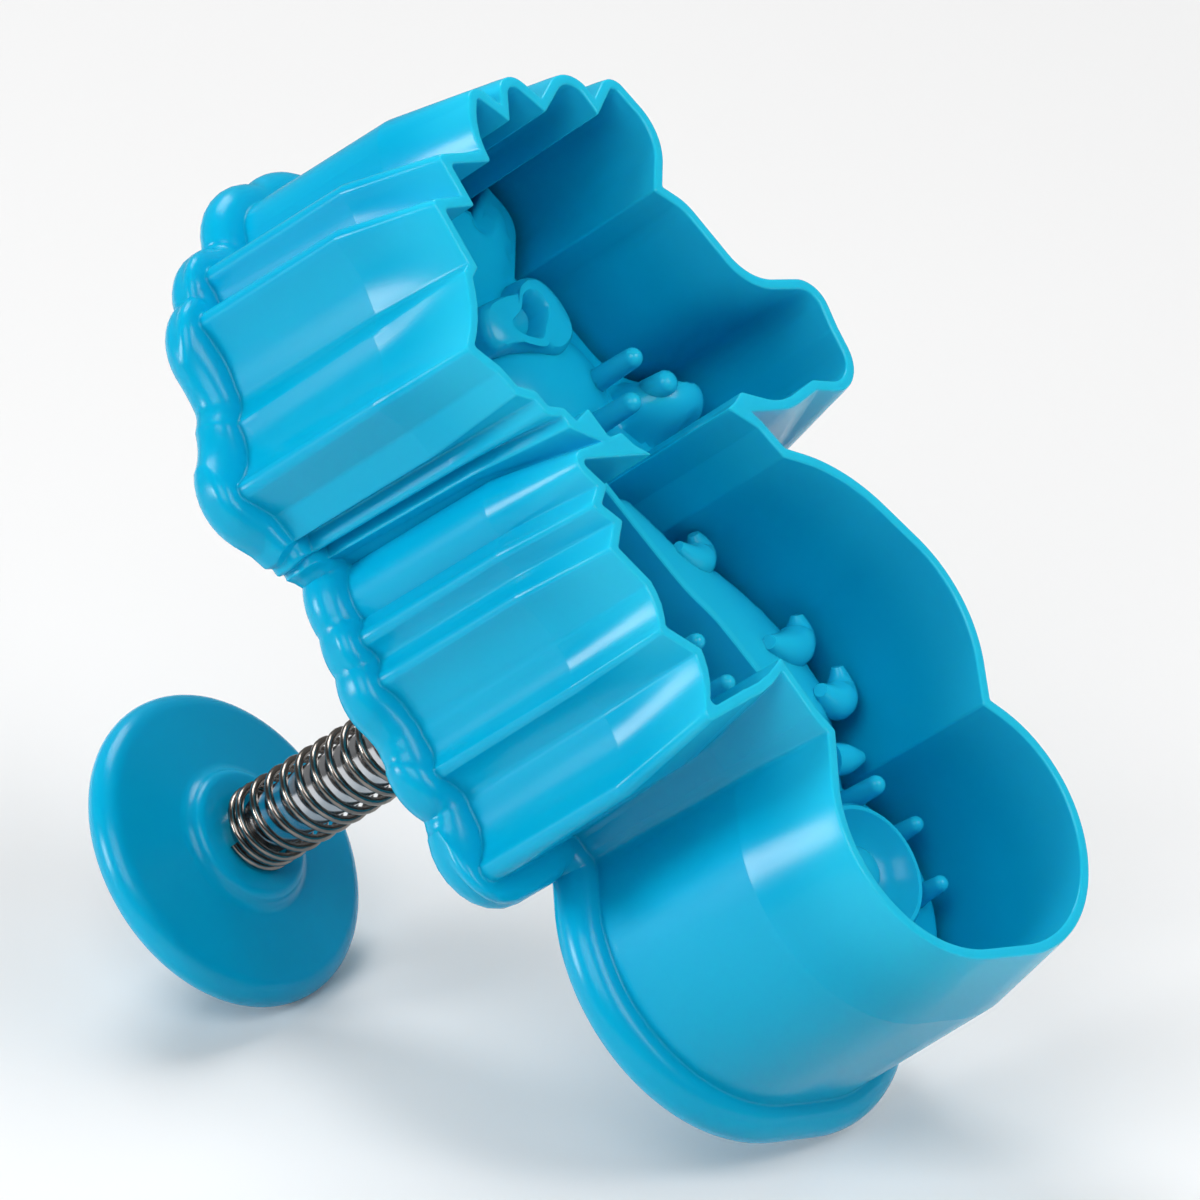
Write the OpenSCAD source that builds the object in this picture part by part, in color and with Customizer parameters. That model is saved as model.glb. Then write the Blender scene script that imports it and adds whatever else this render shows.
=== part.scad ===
// Plunger cutter: a moulded cookie cutter in the outline of a seahorse.
// A spring plunger slides a relief stamp inside it.
// Z points up from the cutting edge, at Z = 0, to the knob. The rod runs along the Z axis. Millimetres.

/* [Cutting wall] */
// Length of the cut shape, from its crest to its tail
shape_l = 80; // [65:1:110]
// Thickness of the cutting edge
edge_t = 0.9; // [0.6:0.1:1.4]
// Thickness of the wall at the shoulder, where the thin lip begins
shoulder_t = 2.6; // [1.8:0.1:3.4]
// Depth of the thin lip, from the cutting edge to the shoulder
lip_h = 9; // [6:0.5:12]
// Thickness of the wall at its foot, by the flange
wall_t = 3; // [2.2:0.1:4]
// Height of the whole shell, from the cutting edge to the back
shell_h = 29; // [27:0.5:36]

/* [Flange and back] */
// Distance that the flange stands out from the cavity
flange_out = 5.3; // [4.6:0.1:7]
// Radius of the flange's rounded edge
bead_r = 2; // [1.4:0.1:2.2]
// Thickness of the back plate
back_t = 3; // [2:0.5:4]
// Diameter of the guide boss under the back plate
guide_d = 10.5; // [9:0.5:16]
// Height of the guide boss under the back plate
guide_h = 3; // [2:0.5:5]

/* [Stamp] */
// Gap between the stamp and the cavity's wall
stamp_gap = 1; // [0.6:0.1:1.6]
// Thickness of the stamp's plate
stamp_t = 2.6; // [2:0.1:4]
// Width and depth of the step round the stamp's face
stamp_step = 1.2; // [0.6:0.1:1.8]
// Diameter of the socket boss on the stamp's back
socket_d = 10; // [8:0.5:14]
// Depth of the rod's seat in the stamp
socket_depth = 4.6; // [3:0.1:5]
// Height of the pegs and the ridge above the stamp's face
peg_h = 6; // [3:0.5:7]
// Diameter of the pegs
peg_d = 1.5; // [1:0.1:2.2]
// Height of the eye, the tail ring and the belly marks above the face
mark_h = 2.4; // [1:0.1:4]
// Thickness of the ridge along the body and of the raised rings
ridge_t = 1.2; // [0.8:0.1:2]

/* [Plunger] */
// Diameter of the steel rod
rod_d = 5; // [4:0.1:5.4]
// Radial clearance of the rod in its guide
rod_clear = 0.08; // [0.04:0.01:0.1]
// Depth of the rod's seat in the knob
knob_seat = 6; // [4:0.5:7]
// Travel of the plunger, which brings the stamp's face to the cutting edge
travel = 15; // [8:0.5:16]

/* [Spring] */
// Length of the spring between its seats
spring_l = 33.5; // [30:0.5:45]
// Outer diameter of the spring
spring_d = 7.4; // [7.2:0.1:9]
// Diameter of the spring wire
wire_d = 0.7; // [0.5:0.05:0.8]
// Number of open curls
curls = 15; // [10:0.5:16]
// Number of close curls at each end
end_curls = 1.5; // [1:0.5:2]
// Pitch of the close curls
end_pitch = 1.15; // [1.15:0.05:1.5]
// Gap between the spring's ends and their seats
seat_gap = 0.1; // [0.05:0.05:0.2]

/* [Knob] */
// Diameter of the knob
knob_d = 27.5; // [24:0.5:36]
// Radius of the knob's rounded edge
knob_edge_r = 1.8; // [1.2:0.1:2.2]
// Height of the knob's edge above its spring seat
knob_rise = 3.8; // [3.4:0.1:5]
// Height of the knob's dome above its edge
dome_h = 3.4; // [2.5:0.1:6]
// Diameter of the raised ring that the spring bears on
ring_d = 12; // [10.5:0.5:14]
// Height of the raised ring
ring_h = 1; // [0.6:0.1:1.6]

/* [Hidden] */
$fn = 64;
plastic = [0.06, 0.62, 0.84];
steel = [0.72, 0.73, 0.75];
// Least radius of a grown lobe, and how far a cutting solid runs past the face that it cuts
least_r = 0.05;
over = 1;

// Heights along the axis
back_z = shell_h;
ceiling_z = shell_h - back_t;
guide_z = ceiling_z - guide_h;
face_short = 0.5;
stamp_z = travel + face_short;
stamp_back_z = stamp_z + stamp_t;
socket_h = guide_z - stamp_back_z;
knob_z = back_z + spring_l;
rod_foot_z = guide_z - socket_depth;
rod_top_z = knob_z + knob_seat;
bead_z = shell_h - bead_r;

// Outline of the cavity for a shape of outline_l, counter-clockwise from above, starting at the crest.
// A point with a radius is the centre of an outward lobe, and a point without one is the tip of a notch.
// A minus sign before the radius marks a notch with a rounded bottom. A fourth value sets how much of the
// wall's growth rounds that lobe.
outline_l = 80;
outline = [
    [3, 38.8, 0.4, 1], [1, 36.6], [-1.3, 38, 0.9, 1], [-3.4, 35.9], [-6.9, 35.4, 1.7], [-8.8, 33.7],
    [-11.9, 34.4, 0.6, 1], [-9.2, 31.4, 4], [-9.8, 26.4], [-8.2, 22.4, 3.7], [-13.4, 15.9, -5.6],
    [-18.4, 12.2, 1.8], [-19.7, 9.8], [-17.3, 8.3, 2.2], [-4, 9], [0.6, -9.9, 14.5], [-4, -12.2, 11.1],
    [-11, -21.6], [-3.2, -29, 10.6], [1.2, -27.4, 10.7], [6.4, -16.9], [7, -14.7, 0], [7.4, -9.9],
    [16.8, -9.8, 0.5], [15, -6.1], [16.8, -3.1, 0.4], [15.9, 0.3], [16.8, 3.8, 0.3],
    [15, 5.5], [15.7, 7.3, 0.3], [14.4, 8.4], [14.9, 10.6, 0.4, 1], [9.4, 10.3], [15, 16.3, 0.4, 1],
    [15.7, 17.5], [16.9, 18.8, 0.4], [17.8, 20.5], [18.6, 22.7, 0.4], [13.8, 27.9],
    [13.1, 32.6, 0.4], [10.2, 32.2], [9.6, 35.4, 0.4], [5.7, 34.6],
];
outline_n = len(outline);
// Lobes larger than this keep round when the wall grows outwards; smaller ones are ridges and stay keen
ridge_r = 1;

// One item of the outline, with its radius and its place at the set length
function item(i) = outline[(i + outline_n) % outline_n];
function is_notch(i) = len(item(i)) == 2 || item(i)[2] < 0;
function place(i) = let (p = item(i)) [p[0], p[1]] * shape_l / outline_l;
function radius(i) = is_notch(i) ? 0 : item(i)[2] * shape_l / outline_l;
function hollow(i) = len(item(i)) == 2 ? 0 : -item(i)[2] * shape_l / outline_l;
function unit(angle) = [cos(angle), sin(angle)];
function wrap(angle) = angle - 360 * floor((angle + 180) / 360);

// Heading of the line that leaves item i and touches the next one, and the outward normal of that line
function heading(i) =
    let (d = place(i + 1) - place(i))
    atan2(d[1], d[0]) + asin((radius(i) - radius(i + 1)) / norm(d));
function facing(i) = heading(i) - 90;
// Turn of the outline at a lobe
function turn(i) = let (t = facing(i) - facing(i - 1)) t - 360 * floor((t + 90) / 360);

// The sharpest turn that a ridge's growth follows
most_turn = 150;

// A lobe after the wall has grown by out: a ridge takes the share soft of that growth as radius
function share(i, soft) = len(item(i)) == 4 ? item(i)[3] : item(i)[2] > ridge_r ? 1 : soft;
function lobe_r(i, out, soft) = max(least_r, radius(i) + out * share(i, soft));
function lobe_c(i, out, soft) =
    let (shift = (out - lobe_r(i, out, soft) + radius(i)) / cos(min(turn(i), most_turn) / 2))
    place(i) + shift * unit(facing(i - 1) + turn(i) / 2);
// Distance of line i from the axis after the wall has grown
function reach(i, out) = place(i) * unit(facing(i)) + radius(i) + out;

// Where two lines meet, where a circle leaves or enters a line, and where two circles meet on the outer side
function lines_meet(i, j, out) =
    let (a = unit(facing(i)), b = unit(facing(j)), p = reach(i, out), q = reach(j, out))
    [p * b[1] - q * a[1], a[0] * q - b[0] * p] / (a[0] * b[1] - a[1] * b[0]);
function on_line(c, r, i, out, way) =
    let (n = unit(facing(i)), h = reach(i, out) - c * n)
    c + h * n + way * sqrt(max(0, r * r - h * h)) * unit(heading(i));
function circles_meet(c, r, b, s) =
    let (d = b - c, l = norm(d), a = (l * l + r * r - s * s) / (2 * l))
    c + a * d / l + sqrt(max(0, r * r - a * a)) * [d[1], -d[0]] / l;

// Bottom of the notch i after the wall has grown: its sides run together, or the lobes beside it do
function notch(i, out, soft) =
    let (c = lobe_c(i - 1, out, soft), r = lobe_r(i - 1, out, soft),
         b = lobe_c(i + 1, out, soft), s = lobe_r(i + 1, out, soft),
         from = c + r * unit(facing(i - 1)), to = b + s * unit(facing(i)),
         meet = lines_meet(i - 1, i, out),
         before = (meet - from) * unit(heading(i - 1)), after = (to - meet) * unit(heading(i)),
         leave = on_line(c, r, i, out, 1), enter = on_line(b, s, i - 1, out, -1))
    before >= 0 && after >= 0 ? meet
    : before < 0 && (to - leave) * unit(heading(i)) >= 0 ? leave
    : after < 0 && (enter - from) * unit(heading(i - 1)) >= 0 ? enter
    : circles_meet(c, r, b, s);

// Points of a notch: one at its bottom, or an arc where the bottom is rounded
hollow_steps = 6;
function notch_line(i, out, soft) =
    let (r = max(least_r, hollow(i) - out), c = lines_meet(i - 1, i, out + r),
         t = wrap(facing(i) - facing(i - 1)))
    hollow(i) == 0 ? [notch(i, out, soft)]
    : [for (k = [0:hollow_steps]) c - r * unit(facing(i - 1) + t * k / hollow_steps)];

// Points of one lobe, from the notch or line before it to the one after it
least_steps = 5;
round_steps = 3;
most_steps = 14;
function lobe_steps(i) = min(most_steps, round(least_steps + round_steps * share(i, 0) + item(i)[2]));
function lobe(i, out, soft) =
    let (c = lobe_c(i, out, soft), r = lobe_r(i, out, soft), n = lobe_steps(i) - 1,
         first = facing(i - 1), last = first + turn(i),
         a = is_notch(i - 1) ? notch(i - 1, out, soft) - c : unit(first),
         b = is_notch(i + 1) ? notch(i + 1, out, soft) - c : unit(last),
         start = first + max(0, wrap(atan2(a[1], a[0]) - first)),
         end = last + min(0, wrap(atan2(b[1], b[0]) - last)))
    [for (k = [0:n]) c + r * unit(start + (end - start) * k / n)];

// The whole outline, grown outwards by out, with a share soft of that growth rounding the ridges
function grown(out, soft) =
    [for (i = [0:outline_n - 1]) each is_notch(i) ? notch_line(i, out, soft) : lobe(i, out, soft)];

// A closed solid through a list of levels, each [growth, height, softness of the ridges]
module levels(list) {
    rings = [for (l = list) [for (p = grown(l[0], l[2])) [p[0], p[1], l[1]]]];
    n = len(rings[0]);
    top = (len(rings) - 1) * n;
    polyhedron(
        points = [for (r = rings) each r],
        faces = concat(
            [[for (i = [0:n - 1]) i]],
            [[for (i = [n - 1:-1:0]) top + i]],
            [for (k = [0:len(rings) - 2], i = [0:n - 1])
                let (a = k * n + i, d = k * n + (i + 1) % n)
                each [[a, a + n, d + n], [a, d + n, d]]]));
}

// Shares of the wall's growth that round its ridges, at the lip, at the foot and on the flange
lip_soft = 0.2;
foot_soft = 0.4;
bead_soft = 0.9;
bead_steps = 6;
foot_gap = 0.4;

module cutter_shell() {
    bead = [for (k = [0:bead_steps])
        let (a = -90 + 180 * k / bead_steps)
        [flange_out - bead_r + bead_r * cos(a), bead_z + bead_r * sin(a), bead_soft]];
    color(plastic)
    difference() {
        union() {
            levels(concat(
                [[0, ceiling_z, lip_soft], [0, 0, lip_soft], [edge_t, 0, lip_soft],
                 [shoulder_t, lip_h, lip_soft], [wall_t, bead_z - bead_r - foot_gap, foot_soft]],
                bead));
            translate([0, 0, guide_z]) cylinder(d = guide_d, h = guide_h + back_t / 2);
        }
        translate([0, 0, guide_z - over])
        cylinder(d = rod_d + 2 * rod_clear, h = guide_h + back_t + 2 * over);
    }
}

// Places of the stamp's relief, for a shape of outline_l
pegs = [
    [-7.9, 16.4], [-4.5, 13.7], [3.4, -5.2], [2.5, -9.3],
    [-6.5, -21.6], [-8.2, -27.2], [-7.1, -32.1], [-3.3, -27.3],
];
ridge = [[4.1, 7.1], [2.2, 3.7], [2.1, -0.1], [0.4, -3.7], [-0.8, -6.8], [-1.3, -9.7]];
belly_marks = [[-5.8, 1.1], [-10.5, -9.2], [-9.8, -15.8]];
eye = [-5, 23.6];
eye_r = 3.4;
nose = [-12.3, 12.6];
nose_r = 2;
tail_ring = [-3.3, -27.3];
tail_ring_r = 5;
mark_r = 1.4;
stamp_soft = 0.2;
// How far the face and the relief run into the plate behind them
stamp_sink = 0.6;

function at_length(p) = p * shape_l / outline_l;

// A raised ring on the stamp's face, sunk a little into it
module raised_ring(p, r, h) {
    translate([at_length(p)[0], at_length(p)[1], stamp_z - h])
    difference() {
        cylinder(r = r, h = h + stamp_sink);
        translate([0, 0, -over]) cylinder(r = r - ridge_t, h = h + stamp_sink + 2 * over);
    }
}

// A peg with a round tip, sunk into the plate like the rings
tip_steps = 6;
module peg(p, d, h) {
    tip = [for (k = [0:tip_steps])
        let (a = 90 * k / tip_steps)
        [d / 2 * sin(a), d / 2 * (1 - cos(a))]];
    translate([at_length(p)[0], at_length(p)[1], stamp_z - h])
    rotate_extrude()
    polygon(concat(tip, [[d / 2, h + stamp_sink], [0, h + stamp_sink]]));
}

// The ridge between the back and the belly, a strip along its middle line
module body_ridge() {
    line = [for (p = ridge) at_length(p)];
    n = len(line) - 1;
    side = [for (i = [0:n])
        let (d = line[min(i + 1, n)] - line[max(i - 1, 0)])
        [d[1], -d[0]] / norm(d) * ridge_t / 2];
    translate([0, 0, stamp_z - peg_h])
    linear_extrude(peg_h + stamp_sink)
    polygon(concat([for (i = [0:n]) line[i] + side[i]], [for (i = [n:-1:0]) line[i] - side[i]]));
}

// A slab of the stamp's outline, inset from the cavity's wall, between two heights
module slab(inset, low, high) {
    translate([0, 0, low]) linear_extrude(high - low) polygon(grown(-inset, stamp_soft));
}

module stamp_plate() {
    color(plastic)
    difference() {
        union() {
            slab(stamp_gap, stamp_z + stamp_step, stamp_back_z);
            slab(stamp_gap + stamp_step, stamp_z, stamp_back_z - stamp_sink);
            translate([0, 0, stamp_back_z - stamp_sink / 2])
            cylinder(d = socket_d, h = socket_h + stamp_sink / 2);
            for (p = pegs) peg(p, peg_d, peg_h);
            for (p = belly_marks) peg(p, 2 * mark_r, mark_h);
            peg(nose, 2 * nose_r, mark_h + nose_r);
            raised_ring(eye, eye_r, mark_h);
            raised_ring(tail_ring, tail_ring_r, mark_h);
            body_ridge();
        }
        translate([0, 0, rod_foot_z]) cylinder(d = rod_d, h = socket_depth + over);
    }
}

module plunger_rod() {
    color(steel)
    translate([0, 0, rod_foot_z]) cylinder(d = rod_d, h = rod_top_z - rod_foot_z);
}

// Middle line of the spring wire: close curls at both ends, open ones between, each end with a straight run
curl_rings = 8;
wire_sides = 6;
coil_r = (spring_d - wire_d) / 2;
coil_h = spring_l - wire_d - 2 * seat_gap;
pitch = (coil_h - 2 * end_curls * end_pitch) / curls;
turns = curls + 2 * end_curls;
coil_steps = round(turns * curl_rings);
function climb(t) =
    end_pitch * (min(t, end_curls) + max(0, t - end_curls - curls))
    + pitch * max(0, min(t - end_curls, curls));
function coil_point(t) =
    [coil_r * cos(360 * t), coil_r * sin(360 * t), back_z + seat_gap + wire_d / 2 + climb(t)];
function along(t) = [-sin(360 * t), cos(360 * t), 0];
wire_line = concat(
    [coil_point(0) - wire_d * along(0)],
    [for (k = [0:coil_steps]) coil_point(turns * k / coil_steps)],
    [coil_point(turns) + wire_d * along(turns)]);
wire_n = len(wire_line);
// Least gap of the wire to itself, over all rings at least half a curl apart
self_gap = min([for (i = [0:wire_n - 1])
    each [for (j = [i + curl_rings / 2:1:wire_n - 1]) norm(wire_line[i] - wire_line[j])]]) - wire_d;
echo(spring_self_gap = self_gap);

module return_spring() {
    rings = [for (i = [0:wire_n - 1])
        let (p = wire_line[i],
             d = wire_line[min(i + 1, wire_n - 1)] - wire_line[max(i - 1, 0)],
             f = d / norm(d),
             s = cross(f, [0, 0, 1]) / norm(cross(f, [0, 0, 1])),
             u = cross(s, f))
        [for (k = [0:wire_sides - 1])
            let (a = 360 * k / wire_sides)
            p + wire_d / 2 * (cos(a) * s + sin(a) * u)]];
    last = (wire_n - 1) * wire_sides;
    color(steel)
    polyhedron(
        points = [for (r = rings) each r],
        faces = concat(
            [for (k = [1:wire_sides - 2]) [0, k, k + 1]],
            [for (k = [1:wire_sides - 2]) [last, last + k + 1, last + k]],
            [for (i = [0:wire_n - 2], k = [0:wire_sides - 1])
                let (a = i * wire_sides + k, b = i * wire_sides + (k + 1) % wire_sides)
                each [[a, a + wire_sides, b + wire_sides], [a, b + wire_sides, b]]]));
}

// Half section of the knob above its spring seat: raised ring, underside, round edge and dome
dome_base_r = knob_d / 2 - knob_edge_r;
dome_base_z = knob_rise + knob_edge_r;
dome_r = (dome_base_r * dome_base_r + dome_h * dome_h) / (2 * dome_h);
dome_half = asin(dome_base_r / dome_r);
edge_steps = 8;
dome_steps = 12;
knob_facets = 96;

module push_knob() {
    edge = [for (k = [0:edge_steps])
        let (a = -90 + 180 * k / edge_steps)
        [dome_base_r + knob_edge_r * cos(a), knob_rise + knob_edge_r * sin(a)]];
    dome = [for (k = [1:dome_steps])
        let (a = dome_half * (1 - k / dome_steps))
        [dome_r * sin(a), dome_base_z + dome_h - dome_r + dome_r * cos(a)]];
    color(plastic)
    translate([0, 0, knob_z])
    difference() {
        rotate_extrude($fn = knob_facets)
        polygon(concat([[0, 0], [ring_d / 2, 0], [ring_d / 2, ring_h]], edge, dome));
        translate([0, 0, -over]) cylinder(d = rod_d, h = knob_seat + over);
    }
}

cutter_shell();
stamp_plate();
plunger_rod();
return_spring();
push_knob();
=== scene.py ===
"""Looks of a plunger cutter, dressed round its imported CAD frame."""

from math import asin, atan2, cos, degrees, dist, pi, radians, remainder, sin, sqrt
from types import SimpleNamespace

import bmesh
import bpy
from mathutils import Matrix, Vector
from mathutils.geometry import delaunay_2d_cdt, tessellate_polygon
from mathutils.kdtree import KDTree


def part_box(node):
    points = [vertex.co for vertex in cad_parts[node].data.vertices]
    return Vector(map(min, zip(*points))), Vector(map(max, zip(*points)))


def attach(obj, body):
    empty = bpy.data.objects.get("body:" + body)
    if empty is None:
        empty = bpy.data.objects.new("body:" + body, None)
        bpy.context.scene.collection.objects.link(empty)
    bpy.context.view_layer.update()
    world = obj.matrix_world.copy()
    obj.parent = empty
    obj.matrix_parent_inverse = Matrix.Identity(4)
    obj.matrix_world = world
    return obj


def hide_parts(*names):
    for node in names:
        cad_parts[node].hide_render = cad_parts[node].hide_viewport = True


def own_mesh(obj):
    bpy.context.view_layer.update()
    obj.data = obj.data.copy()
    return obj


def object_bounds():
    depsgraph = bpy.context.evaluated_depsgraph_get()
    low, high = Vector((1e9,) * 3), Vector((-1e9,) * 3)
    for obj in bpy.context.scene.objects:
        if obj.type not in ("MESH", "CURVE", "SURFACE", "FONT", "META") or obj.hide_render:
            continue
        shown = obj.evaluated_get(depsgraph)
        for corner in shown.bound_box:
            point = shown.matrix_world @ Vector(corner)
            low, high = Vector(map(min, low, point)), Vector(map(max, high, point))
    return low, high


bl_info = {
    "name": "Plunger cutter",
    "version": (1, 0, 0),
    "blender": (4, 5, 0),
    "location": "View3D > Sidebar > Cutter",
    "description": "Dresses the CAD frame of a spring plunger cutter",
    "category": "Object",
}

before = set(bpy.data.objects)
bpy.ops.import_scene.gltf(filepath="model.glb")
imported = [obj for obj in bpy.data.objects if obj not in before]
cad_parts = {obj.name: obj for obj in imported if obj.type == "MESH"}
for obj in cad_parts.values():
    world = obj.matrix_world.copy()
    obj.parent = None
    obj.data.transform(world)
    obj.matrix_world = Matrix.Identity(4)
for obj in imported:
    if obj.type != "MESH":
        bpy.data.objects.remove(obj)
cad_low, cad_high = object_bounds()

# Meshes are made in millimetres and brought to metres by this.
MM = 0.001


def linear(code):
    """Turn an sRGB hex value into linear red, green and blue."""
    steps = [int(code[k:k + 2], 16) / 255 for k in (1, 3, 5)]
    return [c / 12.92 if c <= 0.04045 else ((c + 0.055) / 1.055) ** 2.4 for c in steps]


def feed(tree, node, inputs):
    """Give each named input of a node a value or another node's output."""
    for socket, value in inputs.items():
        if isinstance(value, bpy.types.NodeSocket):
            tree.links.new(value, node.inputs[socket])
        else:
            node.inputs[socket].default_value = value


def add(tree, kind, inputs=None, **settings):
    """Add a node, set it and feed it."""
    node = tree.nodes.new(kind)
    for name, value in settings.items():
        setattr(node, name, value)
    feed(tree, node, inputs or {})
    return node


# Outline of the cavity in millimetres, counter-clockwise seen from the knob, starting at the crest.
# Three values are the middle and radius of an outward lobe, and two the tip of a notch. A negative radius
# is a notch with a round bottom. A fourth value is the share of the wall's growth that rounds a lobe.
CREST = [
    (2.5, 38.9, 0.4, 1), (0.6, 36.6), (-1.7, 38, 0.9, 1), (-3.8, 35.9), (-7.3, 35.4, 1.7), (-9.2, 33.7),
    (-12.3, 34.4, 0.6, 1), (-9.6, 31.4, 4),
]
FACE = [
    (-10.2, 26.4), (-8.6, 22.4, 3.7), (-13.8, 15.9, -5.6), (-18.8, 12.2, 1.8), (-20.1, 9.8),
    (-17.7, 8.3, 2.2), (-14.7, 7.2), (-11.4, 12.6, 5.6),
]
PLAIN_THROAT = [(-4.4, 9)]
BLUNT_THROAT = [(-6.2, 9.3), (-5, 8.9, 0), (-3.7, 8.7)]
BELLY_AND_TAIL = [
    (-5.6, 6.2, 0), (-6.4, 3.2), (0.2, -9.9, 14.5), (-4.4, -12.2, 11.1), (-11.4, -21.6), (-3.6, -29, 10.6),
    (0.8, -27.4, 10.7), (6, -16.9), (6.6, -14.7, 0), (7, -9.9),
]
FIN = [
    (13.2, -6.6, 3.8), (16.4, -9.8, 0.5), (14.6, -6.1), (16.4, -3.1, 0.4), (15.5, 0.3), (16.4, 3.8, 0.3),
    (14.6, 5.5), (15.3, 7.3, 0.3), (14, 8.4), (14.5, 10.6, 0.4, 1),
]
PLAIN_NECK = [(9, 10.3)]
NECK_FLUTE = [(13, 14.3, 0.3), (13.3, 15.4)]
CUT_NECK = [
    (7.3, 8.7), (8.5, 10, 0), (9.1, 11.4), (10.2, 12, 0.5), (11, 14.3), (12.8, 14.2, 0.25), (13.5, 15.3),
]
MANE = [
    (14.6, 16.3, 0.4, 1), (15.3, 17.5), (16.5, 18.8, 0.4), (17.4, 20.5), (18.2, 22.7, 0.4),
    (14.3, 27.1, 0.4), (13.4, 27.9), (12.7, 32.6, 0.4), (9.8, 32.2), (9.2, 35.4, 0.4), (5.3, 34.6),
]
HEAD, BODY = CREST + FACE, BELLY_AND_TAIL + FIN
# Lines of the stamp, of the shell's outside and of the cavity.
STAMP_LINE = HEAD + PLAIN_THROAT + BODY + PLAIN_NECK + MANE
LIP_LINE = HEAD + PLAIN_THROAT + BODY + PLAIN_NECK + NECK_FLUTE + MANE
RIM_LINE = HEAD + BLUNT_THROAT + BODY + CUT_NECK + MANE
# Items too small for the thick wall, which runs straight past them below the lip.
LIP_ONLY = {(-14.7, 7.2), (-11.4, 12.6), (-5.6, 6.2), (-6.4, 3.2)}
# Small lobes and notches that stay as flutes of that straight wall.
FLUTED = {
    (13, 14.3), (13.3, 15.4), (14.6, 16.3), (15.3, 17.5), (16.5, 18.8), (17.4, 20.5), (14.3, 27.1),
}
# Hollow of a flute's sides below the lip, as a share of their length, and the longest side that has it.
HOLLOW, FLUTE_L = 0.09, 9
# How much deeper the small flutes are than in the rim.
DEEPER = 1.2
# Places of one ridge or three on a fluted stretch, as shares of its length.
RIDGE_PLACES = {1: (0.8,), 3: (0.12, 0.28, 0.48)}
# Sag of the line that leaves an item, as a share of its length. A negative one bows outwards.
SAGS = {
    (7, -9.9): -0.06, (16.4, -9.8): 0.08, (16.4, -3.1): 0.09, (18.2, 22.7): 0.07, (5.3, 34.6): -0.1,
}

# Lobes larger than this stay round as the wall grows; smaller ones are ridges and stay keen.
RIDGE_R = 1
# Least radius of a grown lobe, and the most turn that moves its middle.
LEAST_R, MOST_TURN = 0.05, radians(150)
# Spacing of the points along straight stretches, and the most steps of one.
LINE_STEP, MOST_STEPS = 0.7, 20
# Points of a sharp notch and steps of a round one. Points of a lobe: least, more per millimetre, most.
VALLEY_STEPS, NOTCH_STEPS = 5, 12
LOBE_LEAST, LOBE_PER_MM, LOBE_MOST = 8, 3, 40
# Largest share of a notch's side that its soft valley takes.
VALLEY_SHARE = 0.45


def unit(angle):
    """Unit vector in the plane at an angle."""
    return Vector((cos(angle), sin(angle)))


def deeper(shape):
    """The same flutes, moved to their places on the wall and cut deeper."""
    tops = [b for a, b, c in zip(shape, shape[1:], shape[2:]) if a[1] < b[1] >= c[1]]
    places = [0, *RIDGE_PLACES[len(tops)], 1]
    tops = [(0, 0)] + tops + [(1, 0)]
    cut = []
    for along, rise in shape:
        k = max(i for i, top in enumerate(tops[:-1]) if top[0] <= along)
        (first, a), (last, b) = tops[k:k + 2]
        part = (along - first) / (last - first)
        over = a + (b - a) * part
        cut.append((places[k] + (places[k + 1] - places[k]) * part, rise - DEEPER * max(0, over - rise)))
    return cut


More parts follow.
